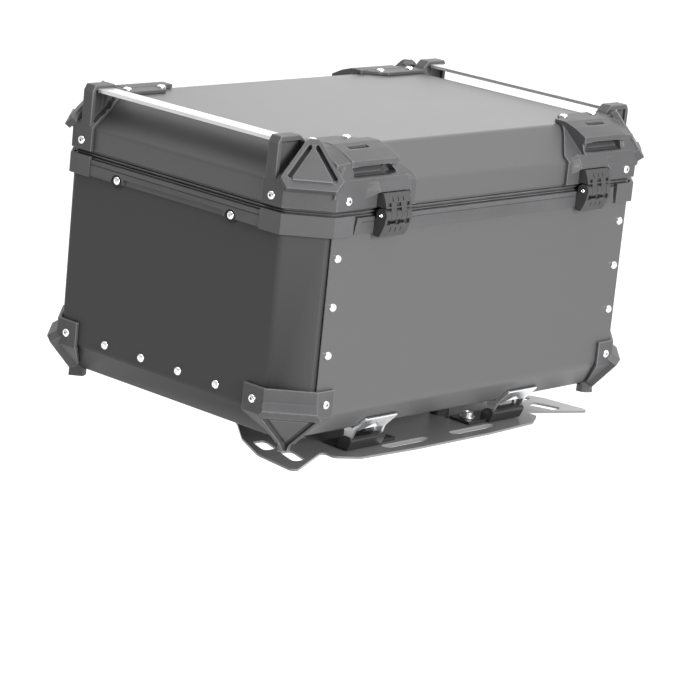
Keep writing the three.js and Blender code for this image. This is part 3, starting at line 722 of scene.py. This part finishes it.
def facet_solid(name, frame_at, pts, w0, w1):
    bm = bmesh.new()
    lo = [bm.verts.new(frame_at(u, v, w0)) for u, v in pts]
    hi = [bm.verts.new(frame_at(u, v, w1)) for u, v in pts]
    bm.faces.new(lo)
    bm.faces.new(hi)
    for i in range(len(pts)):
        j = (i + 1) % len(pts)
        bm.faces.new((lo[i], lo[j], hi[j], hi[i]))
    return from_bmesh(name, bm)


def half_spaces(name, planes, size=0.8):
    """The convex solid behind a set of planes (point, outward normal), mm in the case frame."""
    bm = bmesh.new()
    bmesh.ops.create_cube(bm, size=size)
    for p, n in planes:
        r = bmesh.ops.bisect_plane(bm, geom=bm.verts[:] + bm.edges[:] + bm.faces[:], dist=1e-7, plane_co=V(*p), plane_no=Vector(n), clear_outer=True)
        rim = [e for e in r["geom_cut"] if isinstance(e, bmesh.types.BMEdge)]
        if rim:
            bmesh.ops.contextual_create(bm, geom=rim)
    return from_bmesh(name, bm)


def three(a, b, c, off, inside=(0, 0, 250)):
    """A plane through three points, moved out by off."""
    a, b, c = Vector(a), Vector(b), Vector(c)
    n = (b - a).cross(c - a).normalized()
    if n.dot(Vector(inside) - a) > 0:
        n.negate()
    return (tuple(a + n * off), tuple(n))


def lid_solid(off, name="lid_outside"):
    ps = [((0, 0, 314.4 + off), (0, 0, 1)), ((0, 0, 240), (0, 0, -1))]
    for sx in (1, -1):
        ps.append(((sx * (285 + off), 0, 0), (sx, 0, 0)))
        ps.append(three((sx * 285, 0, 280), (sx * 285, 10, 280), (sx * 247, 0, 314.4), off))
        ps.append(((0, sx * (195.8 + off), 0), (0, sx, 0)))
        ps.append(three((0, sx * 195.8, 280), (10, sx * 195.8, 280), (0, sx * 155.8, 314.4), off))
        for sy in (1, -1):
            ps.append(((sx * (285 + CNX * off), sy * (159.8 + CNY * off), 0), (sx * CNX, sy * CNY, 0)))
            ps.append(three((sx * 285, sy * 159.8, 280), (sx * 246, sy * 195.8, 280), (sx * 247, sy * 155.8, 314.4), off))
    return half_spaces(name, ps)


cap = copy_node("lid_cap_front_right", "lid_cap_work")
# the skin's curved edge beside the carry bar
skin = extrusion("t", "z", [(126.4, 201), (126.4, 192), (134, 184.5), (145, 174), (161, 157), (175, 150), (175, 186), (150, 201)], 255, 322)
boolean(skin, lid_solid(4.3), "INTERSECT")
lower_skin = extrusion("t", "z", [(129, 205), (129, 195), (150, 195), (150, 205)], 256, 283)
boolean(lower_skin, lid_solid(4.3), "INTERSECT")
boolean(cap, skin, "UNION")
boolean(cap, lower_skin, "UNION")
# the carry bar runs on into the shoulder of the triangular plate
a_prof = [(150, 312), (150, 319.1), (166, 319.1), (181, 314.5), (196.6, 306.8), (196.6, 300), (194, 299), (180, 302)]
b_prof = [(150, 309), (150, 316.8), (166, 316.8), (179, 311.6), (193.6, 303.6), (193.6, 299), (192, 298), (180, 300)]
bm = bmesh.new()
ra = [bm.verts.new(V(216, y, z)) for y, z in a_prof]
rb = [bm.verts.new(V(246, y, z)) for y, z in b_prof]
bm.faces.new(ra)
bm.faces.new(rb)
for k in range(len(ra)):
    q = (k + 1) % len(ra)
    bm.faces.new((ra[k], ra[q], rb[q], rb[k]))
blend_bar = from_bmesh("t", bm)
boolean(blend_bar, extrusion("t", "x", [(150, 309.6), (150, 318.9), (166, 318.9), (181, 314.4), (196.4, 306.9), (196.4, 300.2), (190, 301.5), (176, 306), (168, 309.6)], 184, 218), "UNION")
boolean(blend_bar, lid_solid(0.3), "DIFFERENCE")
boolean(cap, blend_bar, "UNION")
# strap slot above the bar and the deep scoop below it
boolean(cap, extrusion("t", "z", [(181, 171.2), (212, 171.2), (212, 177.4), (181, 177.4)], 306, 330))
boolean(cap, extrusion("t", "x", [(209, 289.6), (209, 299.4), (197.4, 299.4), (189, 302.4), (180, 308.4), (176, 308.4), (176, 302.2), (191, 289.6)], 166, 222))
boolean(cap, extrusion("t", "y", [(166.2, 302), (166.2, 290), (158.5, 290.4), (157, 292.5)], 185, 209))
# the triangular plate: two deep channels beside the raised triangle, and a line below
boolean(cap, facet_solid("t", emblem, [(-4.5, 5), (4.5, 5), (27.5, 45.5), (24, 50), (-24, 50), (-27.5, 45.5)], -4.0, 0.0), "UNION")
for k in (1, -1):
    boolean(cap, facet_solid("t", emblem, [(k * 4.4, 6.0), (k * 5.4, 7.2), (k * 26.2, 43.6), (k * 25.2, 45.0), (k * 21.2, 45.0), (k * 2.0, 10.6), (k * 2.4, 6.6)], -7.0, 2.0))
    boolean(cap, facet_solid("t", emblem, [(k * 21.0, 45.0), (k * 25.4, 45.0), (k * 26.2, 46.2), (k * 24.4, 48.8), (k * 20.6, 48.8)], -1.6, 2.0))
boolean(cap, facet_solid("t", emblem, [(-21, 47.6), (21, 47.6), (21, 49.4), (-21, 49.4)], -1.6, 2.0))
boolean(cap, facet_solid("t", emblem, [(-4.4, 4.6), (4.4, 4.6), (4.4, 6.2), (-4.4, 6.2)], -1.3, 2.0))
# the hood over the hinge fades into the skin on both sides
for xa, xb in ((189.5, 206), (143.5, 133)):
    bm = bmesh.new()
    ra = [bm.verts.new(V(xa, y, z)) for y, z in [(197, 289), (202.5, 284), (206.1, 276), (206.1, 273.4), (197, 273.4)]]
    rb = [bm.verts.new(V(xb, y, z)) for y, z in [(197, 286), (199.8, 283), (199.8, 276), (199.8, 266), (197, 266)]]
    bm.faces.new(ra)
    bm.faces.new(rb)
    for k in range(len(ra)):
        q = (k + 1) % len(ra)
        bm.faces.new((ra[k], ra[q], rb[q], rb[k]))
    boolean(cap, from_bmesh("t", bm), "UNION")
# deeper pocket in the post, with its ribs left standing
boolean(cap, extrusion("t", "y", [(282.6, 290), (282.6, 320.5), (270, 320.5), (270, 297)], 128, 139.8))
boolean(cap, extrusion("t", "y", [(267.6, 300), (267.6, 320.5), (258, 320.5), (256.5, 317.5), (263.5, 302.5)], 128, 139.8))
boolean(cap, extrusion("t", "y", [(282.6, 290), (282.6, 320.5), (252.6, 320.5), (249.2, 313), (257.5, 300.5), (272, 285.5), (279, 285.5)], 143.4, 152))
melt(cap, 0.68, 2, 0.45, keep=0.25)
for fr, sy in (("front", 1), ("rear", -1)):
    for side, sx in (("right", 1), ("left", -1)):
        nm = f"{fr}_{side}"
        ob = flipped(cap, "moulded_lid_cap_" + nm, sx, sy)
        settle(ob, "lid", M_CAP, "lid_cap_" + nm)
remove(cap)

cap = copy_node("bottom_cap_front_right", "bottom_cap_work")
mid = ((285 + 246) / 2, (159.8 + 195.8) / 2)
lower_plate = facet_frame((mid[0], mid[1], 35), (250 - mid[0], 160.8 - mid[1], -35))
for k in (1, -1):
    boolean(cap, facet_solid("t", lower_plate, [(k * 6.5, 36), (k * 40, 30), (k * 40, 66), (k * 6.5, 66)], -40, 14))
    boolean(cap, facet_solid("t", lower_plate, [(k * 24.6, -2.2), (k * 28.2, -1.0), (k * 1.2, 42.0), (0, 42.4), (0, 36.4)], 5.0, 14))
boolean(cap, facet_solid("t", lower_plate, [(-25, -2.2), (25, -2.2), (22.5, 1.2), (-22.5, 1.2)], 7.2, 14))
melt(cap, 0.62, 1, 0.5, keep=0.25)
for fr, sy in (("front", 1), ("rear", -1)):
    for side, sx in (("right", 1), ("left", -1)):
        nm = f"{fr}_{side}"
        ob = flipped(cap, "moulded_bottom_cap_" + nm, sx, sy)
        settle(ob, "case", M_CAP, "bottom_cap_" + nm)
remove(cap)


# ---------------------------------------------------------------- rim strips
for side, sx in (("right", 1), ("left", -1)):
    rim = copy_node("rim_" + side, "rim_strip_" + side)
    a, b = sorted((sx * 286.6, sx * 296))
    boolean(rim, extrusion("t", "x", [(-76, 225), (76, 225), (76, 235.2), (-76, 235.2)], a, b))
    a, b = sorted((sx * 287.5, sx * 296))
    boolean(rim, extrusion("t", "x", [(-170, 241.0), (170, 241.0), (170, 241.9), (-170, 241.9)], a, b))
    for y in (-87.7, 87.7):
        boolean(rim, extrusion("t", "x", [(y + 8.2 * math.cos(k * math.pi / 10), 230.2 + 8.2 * math.sin(k * math.pi / 10)) for k in range(20)], *sorted((sx * 285.9, sx * 296))))
    edge_round(rim, 0.5, 2, 30)
    settle(rim, "case", M_RIM, "rim_" + side)
for fr, sy in (("front", 1), ("rear", -1)):
    rim = copy_node("rim_" + fr, "rim_strip_" + fr)
    for sx in (1, -1):
        a, b = sorted((sy * 196.2, sy * 206))
        boolean(rim, extrusion("t", "y", [(sx * 211.5, 252), (sx * 226, 252), (sx * 226, 225), (sx * 217.6, 225)], a, b))
    a, b = sorted((sy * 198.3, sy * 206))
    boolean(rim, extrusion("t", "y", [(-206, 241.0), (206, 241.0), (206, 241.8), (-206, 241.8)], a, b))
    edge_round(rim, 0.5, 2, 30)
    settle(rim, "case", M_RIM, "rim_" + fr)

# ---------------------------------------------------------------- rails with fine rolled lines
for side, sx in (("right", 1), ("left", -1)):
    rail = copy_node("rail_" + side, "rail_bar_" + side)
    for x in (263.6, 279.7):
        a, b = sorted((sx * x, sx * (x + 0.8)))
        boolean(rail, extrusion("t", "z", [(a, -133), (b, -133), (b, 133), (a, 133)], 323.7, 326))
    a, b = sorted((sx * 259.5, sx * 261.2))
    boolean(rail, extrusion("t", "z", [(a, -133), (b, -133), (b, 133), (a, 133)], 321.8, 322.6))
    edge_round(rail, 0.35, 2, 30)
    settle(rail, "lid", M_RAIL, "rail_" + side)

# ---------------------------------------------------------------- hold-down claws: bright hook, black foot
for side, sx in (("right", 1), ("left", -1)):
    hook = copy_node("claw_" + side, "claw_hook_" + side)
    foot = copy_node("claw_" + side, "claw_foot_" + side)
    block = lambda z0, z1: extrusion("t", "z", [(sx * 40, 100), (sx * 170, 100), (sx * 170, 200), (sx * 40, 200)], z0, z1, case=False)
    boolean(hook, block(-5, 9.35))
    boolean(foot, block(9.35, 80))
    win = [(99.2, 140), (99.2, 158), (105, 164.2), (132, 164.2), (138.2, 158), (138.2, 140)]
    boolean(hook, extrusion("t", "z", [(sx * x, y) for x, y in win], 9.0, 80, case=False))
    edge_round(hook, 0.5, 2, 30)
    boolean(foot, extrusion("t", "x", [(143.2, 6), (156.8, 6), (161.5, 15.5), (161.5, 18.6), (158.5, 21.2), (149.5, 21.2), (143.2, 15)], *sorted((sx * 91.2, sx * 145.4)), case=False), "UNION")
    edge_round(foot, 0.5, 2, 30)
    settle(hook, "carrier", M_STEEL, "claw_" + side)
    settle(foot, "carrier", M_DARK)

# ---------------------------------------------------------------- hinge pins with small domed ends
for side, shift in (("right", 0), ("left", -334)):
    bm = bmesh.new()
    prev = None
    for x, r in ((147.3, 1.8), (147.6, 2.4), (187.0, 2.4), (187.6, 2.4), (188.3, 2.2), (188.7, 1.7), (188.8, 1.2), (188.3, 0.9), (188.1, 0.3)):
        ring = [bm.verts.new(V(x + shift, 208.5 + r * math.cos(k * math.pi / 8), 249 + r * math.sin(k * math.pi / 8))) for k in range(16)]
        if prev:
            for k in range(16):
                q = (k + 1) % 16
                bm.faces.new((prev[k], prev[q], ring[q], ring[k]))
        else:
            bm.faces.new(ring)
        prev = ring
    bm.faces.new(prev)
    ob = from_bmesh("hinge_pin_turned_" + side, bm)
    smooth_by_angle(ob, 40)
    settle(ob, "case", M_SCREW, "hinge_pin_" + side)

# ---------------------------------------------------------------- screws and rivets
def head_rings(kind, h):
    """Rings of (radius, height, hexagon?) of a fastener head on its face."""
    if kind == "socket":
        return [(4.75, -0.2, 0), (4.75, 0.35 * h, 0), (4.55, 0.55 * h, 0), (4.05, 0.76 * h, 0), (3.3, 0.92 * h, 0), (2.6, h, 0), (1.95, h, 1), (1.75, 0.93 * h, 1), (1.7, 0.35 * h, 1), (0.5, 0.3 * h, 0)]
    return [(4.85, -0.1, 0), (4.85, 0.25 * h, 0), (4.7, 0.45 * h, 0), (4.2, 0.68 * h, 0), (3.3, 0.87 * h, 0), (2.2, 0.97 * h, 0), (1.5, h, 0), (1.15, 0.95 * h, 0), (1.0, 0.6 * h, 0), (0.35, 0.55 * h, 0)]


def fasteners(name, body, spots, kind, h, turn=0.0):
    """One mesh of heads; spots are (axis, side, x, y, z) in mm on the face."""
    bm = bmesh.new()
    for k, (axis, side, x, y, z) in enumerate(spots):
        prev = None
        for r, t, hexed in head_rings(kind, h):
            ring = []
            for i in range(24):
                a = i * math.pi / 12
                rr = r
                if hexed:
                    rr = r * math.cos(math.pi / 6) / math.cos((a + math.pi / 6) % (math.pi / 3) - math.pi / 6)
                a += turn + k * 0.7
                u, v, w = rr * math.cos(a), rr * math.sin(a), t * side
                p = {"x": (x + w, y + u, z + v), "y": (x + u, y + w, z + v), "z": (x + u, y + v, z + w)}[axis]
                ring.append(bm.verts.new(V(*p)))
            if prev:
                for i in range(24):
                    j = (i + 1) % 24
                    bm.faces.new((prev[i], prev[j], ring[j], ring[i]))
            else:
                bm.faces.new(ring)
            prev = ring
        bm.faces.new(prev)
    ob = from_bmesh(name, bm)
    smooth_by_angle(ob, 40)
    return settle(ob, body, M_SCREW)


for fr, sy in (("front", 1), ("rear", -1)):
    for side, sx in (("right", 1), ("left", -1)):
        fasteners(f"screws_lid_cap_{fr}_{side}", "lid", [("x", sx, sx * 289.3, sy * 145.8, 266), ("y", sy, sx * 231, sy * 200.1, 266), ("z", 1, sx * 180.2, sy * 142, 318.7), ("z", 1, sx * 231.6, sy * 142, 318.7)], "socket", 2.7)
        fasteners(f"screws_bottom_cap_{fr}_{side}", "case", [("x", sx, sx * 289.3, sy * 146, 48.2), ("y", sy, sx * 235, sy * 200.1, 48)], "socket", 2.9)
        fasteners(f"rivets_{fr}_{side}", "case", [("y", sy, sx * 235, sy * 195.8, z) for z in (100.4, 152.5, 204.7)], "rivet", 3.3)
for side, sx in (("right", 1), ("left", -1)):
    fasteners(f"screws_rim_{side}", "case", [("x", sx, sx * 286.3, y, 232) for y in (-87.7, 87.7)], "socket", 3.1)
    fasteners(f"rivets_side_{side}", "case", [("x", sx, sx * 285, y, 48) for y in (-87, -29, 29, 87)], "rivet", 3.3)

def painted_shade_cups(name, body, spots):
    """Shallow black cups round the rim screws, painted shade for the pockets the screws sit in; spots are (side, x, y,
    z) in mm.
    """
    bm = bmesh.new()
    for side, x, y, z in spots:
        prev = None
        for r, t in ((7.4, -0.3), (7.4, 0.5), (7.0, 0.9), (6.3, 0.9), (5.9, 0.5), (5.9, 0.2), (0.4, 0.15)):
            ring = [bm.verts.new(V(x + t * side, y + r * math.cos(i * math.pi / 16), z + r * math.sin(i * math.pi / 16))) for i in range(32)]
            if prev:
                for i in range(32):
                    j = (i + 1) % 32
                    bm.faces.new((prev[i], prev[j], ring[j], ring[i]))
            else:
                bm.faces.new(ring)
            prev = ring
        bm.faces.new(prev)
    ob = from_bmesh(name, bm)
    smooth_by_angle(ob, 40)
    return settle(ob, body, M_RUBBER)


# black cups as painted shade in the rim screw pockets
for side, sx in (("right", 1), ("left", -1)):
    painted_shade_cups("painted_shade_cups_rim_" + side, "case", [(sx, sx * 285.9, y, 230.6) for y in (-87.7, 87.7)])

# ---------------------------------------------------------------- stage
def stage_material(name, tone):
    t = Tree(name)
    cloud = t.noise(1.3, 3)
    t.color(t.mix(t.maprange(cloud, 0.3, 0.7, 0, 1), tuple(c * 0.985 for c in tone), tone))
    t.rough(t.maprange(t.noise(8.0), 0.3, 0.7, 0.75, 0.9))
    t.normal(t.bump(t.noise(500.0), 0.02, 0.0005))
    t.fixed(Emission_Color=(1.0, 1.0, 1.0, 1.0), Emission_Strength=0.74)
    t.mat.cycles.emission_sampling = "NONE"
    return t.mat


bm = bmesh.new()
bmesh.ops.create_circle(bm, cap_ends=True, segments=96, radius=45.0)
floor = from_bmesh("floor", bm)
floor.location.z = CAD_LO.z - 0.40
floor.data.materials.append(stage_material("pale_floor", (0.30, 0.30, 0.30)))

world = bpy.data.worlds.new("studio")
scene.world = world
world.use_nodes = True
wt = world.node_tree
bg = wt.nodes["Background"]
coord = wt.nodes.new("ShaderNodeTexCoord")
split = wt.nodes.new("ShaderNodeSeparateXYZ")
wt.links.new(coord.outputs["Generated"], split.inputs[0])
sx_ = wt.nodes.new("ShaderNodeMath")
sx_.operation = "MULTIPLY_ADD"
sx_.inputs[1].default_value, sx_.inputs[2].default_value = -0.50, 0.62
wt.links.new(split.outputs["X"], sx_.inputs[0])
sy_ = wt.nodes.new("ShaderNodeMath")
sy_.operation = "MULTIPLY_ADD"
sy_.inputs[1].default_value = -0.22
wt.links.new(split.outputs["Y"], sy_.inputs[0])
wt.links.new(sx_.outputs[0], sy_.inputs[2])
sz_ = wt.nodes.new("ShaderNodeMath")
sz_.operation = "MULTIPLY_ADD"
sz_.inputs[1].default_value = 0.62
wt.links.new(split.outputs["Z"], sz_.inputs[0])
wt.links.new(sy_.outputs[0], sz_.inputs[2])
low_ = wt.nodes.new("ShaderNodeMath")
low_.operation = "MAXIMUM"
low_.inputs[1].default_value = 0.10
wt.links.new(sz_.outputs[0], low_.inputs[0])
path_ = wt.nodes.new("ShaderNodeLightPath")
seen_ = wt.nodes.new("ShaderNodeMix")
seen_.data_type = "FLOAT"
seen_.inputs[3].default_value = 1.1
wt.links.new(path_.outputs["Is Camera Ray"], seen_.inputs[0])
wt.links.new(low_.outputs[0], seen_.inputs[2])
wt.links.new(seen_.outputs[0], bg.inputs["Strength"])
bg.inputs["Color"].default_value = (1.0, 1.0, 1.0, 1)


def area(name, loc, target, size, power, tint=(1, 1, 1)):
    d = bpy.data.lights.new(name, "AREA")
    d.shape = "RECTANGLE"
    d.size, d.size_y = size
    d.energy = power
    d.color = tint
    o = link(bpy.data.objects.new(name, d))
    o.location = loc
    o.rotation_mode = "QUATERNION"
    o.rotation_quaternion = (Vector(target) - Vector(loc)).to_track_quat("-Z", "Y")
    return o


area("key_softbox", (0.45, 3.2, 1.15), (0, 0, 0.2), (1.3, 1.3), 158)
area("top_softbox", (0.35, 0.1, 2.7), (0, 0, 0.2), (1.8, 1.8), 46)
area("rear_fill", (-2.5, -1.6, 1.2), (0, 0, 0.2), (2.0, 1.6), 14)

scene.view_settings.view_transform = "Standard"
scene.view_settings.look = "None"
